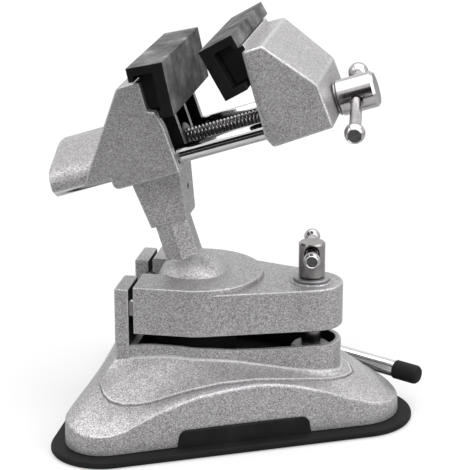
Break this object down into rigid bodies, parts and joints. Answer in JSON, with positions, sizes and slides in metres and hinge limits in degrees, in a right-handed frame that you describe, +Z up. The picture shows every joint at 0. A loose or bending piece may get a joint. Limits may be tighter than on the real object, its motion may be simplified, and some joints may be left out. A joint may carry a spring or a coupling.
{
  "type": "suction base vise",
  "caption": "Small bench vise with a ball-jointed head, rubber-faced jaws on guide rods and a lead screw, and a lever-locked suction base.",
  "frame": {"origin": "on the plane the suction pad stands on, on the middle line of the base", "axes": "+Z up from the pad; +X from the rear hinge to the nose of the base; +Y towards the side that carries the suction lever"},
  "size_m": [0.1466, 0.1398, 0.1622],
  "materials": {
    "casting": "silver-grey sparkle coating over a die casting",
    "rubber": "matt moulded rubber",
    "jaw_rubber": "ground, dusty rubber",
    "bright_steel": "polished and plated",
    "plain_steel": "turned, oiled",
    "dark_steel": "blackened",
    "bearing_plastic": "moulded"
  },
  "bodies": {
    "base": {"suction_pad": "rubber", "base_casting": "casting", "ball_friction_ring": "bearing_plastic", "fulcrum_pins": "plain_steel", "cam_shaft_bush": "plain_steel"},
    "pull": {"pull_plate": "plain_steel", "pull_stud": "plain_steel"},
    "lever": {"cam_shaft": "plain_steel", "lever_hub": "casting", "suction_lever": "bright_steel", "lever_cap": "rubber"},
    "clamp_arm": {"clamp_arm": "casting"},
    "clamp_washer": {"clamp_washer": "plain_steel"},
    "clamp_bolt": {"clamp_bolt": "bright_steel"},
    "clamp_bar": {"clamp_bar": "bright_steel", "clamp_bar_knobs": "bright_steel"},
    "ball_link": {"stem_screw": "plain_steel"},
    "head": {"ball_stem": "casting", "stem_grub_screw": "dark_steel", "fixed_jaw": "casting", "thread_bush": "plain_steel", "fixed_jaw_pad": "jaw_rubber"},
    "movable_jaw": {"movable_jaw": "casting", "movable_jaw_pad": "jaw_rubber", "guide_rod_near": "bright_steel", "guide_rod_far": "bright_steel", "rod_roll_pins": "dark_steel"},
    "lead_screw": {"lead_screw": "bright_steel", "screw_washer": "plain_steel", "screw_retaining_clip": "plain_steel"},
    "turning_bar": {"turning_bar": "bright_steel", "turning_bar_knobs": "bright_steel"}
  },
  "joints": [
    {"name": "lever_swing", "type": "hinge", "parent": "base", "child": "lever", "pos_m": [0.00906, 0.04563, 0.0152], "axis": [-0.4416, -0.8972, 0], "range_deg": [0, 180]},
    {"name": "pull_lift", "type": "slide", "parent": "base", "child": "pull", "axis": [0, 0, 1], "range_m": [0, 0.0025]},
    {"name": "arm_hinge", "type": "hinge", "parent": "base", "child": "clamp_arm", "pos_m": [-0.03742, 0, 0.05], "axis": [0, -1, 0], "range_deg": [0, 1.5]},
    {"name": "washer_lift", "type": "slide", "parent": "base", "child": "clamp_washer", "axis": [0, 0, 1], "range_m": [0, 0.00198]},
    {"name": "bolt_spin", "type": "hinge", "parent": "clamp_washer", "child": "clamp_bolt", "pos_m": [0.0306, 0, 0.0684], "axis": [0, 0, 1], "range_deg": [0, 570]},
    {"name": "clamp_bar_slide", "type": "slide", "parent": "clamp_bolt", "child": "clamp_bar", "axis": [-0.1271, 0.9919, 0], "range_m": [-0.0101, 0.0037]},
    {"name": "ball_tilt", "type": "hinge", "parent": "base", "child": "ball_link", "pos_m": [-0.0169, 0, 0.05185], "axis": [0, -1, 0], "range_deg": [-35, 72.1]},
    {"name": "head_spin", "type": "hinge", "parent": "ball_link", "child": "head", "pos_m": [-0.0169, 0, 0.05185], "axis": [-0.3067, 0, 0.9518], "continuous": true},
    {"name": "jaw_slide", "type": "slide", "parent": "head", "child": "movable_jaw", "axis": [0.9518, 0, 0.3067], "range_m": [-0.0138, 0.04]},
    {"name": "screw_spin", "type": "hinge", "parent": "movable_jaw", "child": "lead_screw", "pos_m": [0.0473, 0, 0.13391], "axis": [0.9518, 0, 0.3067], "range_deg": [-3312, 9600]},
    {"name": "turning_bar_slide", "type": "slide", "parent": "lead_screw", "child": "turning_bar", "axis": [-0.0809, 0.9646, 0.2512], "range_m": [-0.0066, 0.0206]}
  ],
  "couplings": [
    {"joint": "pull_lift", "follows": "lever_swing", "m_per_rad": 0.00079577},
    {"joint": "bolt_spin", "follows": "arm_hinge", "ratio": 380},
    {"joint": "washer_lift", "follows": "arm_hinge", "m_per_rad": 0.075599},
    {"joint": "screw_spin", "follows": "jaw_slide", "rad_per_m": 4188.8}
  ]
}
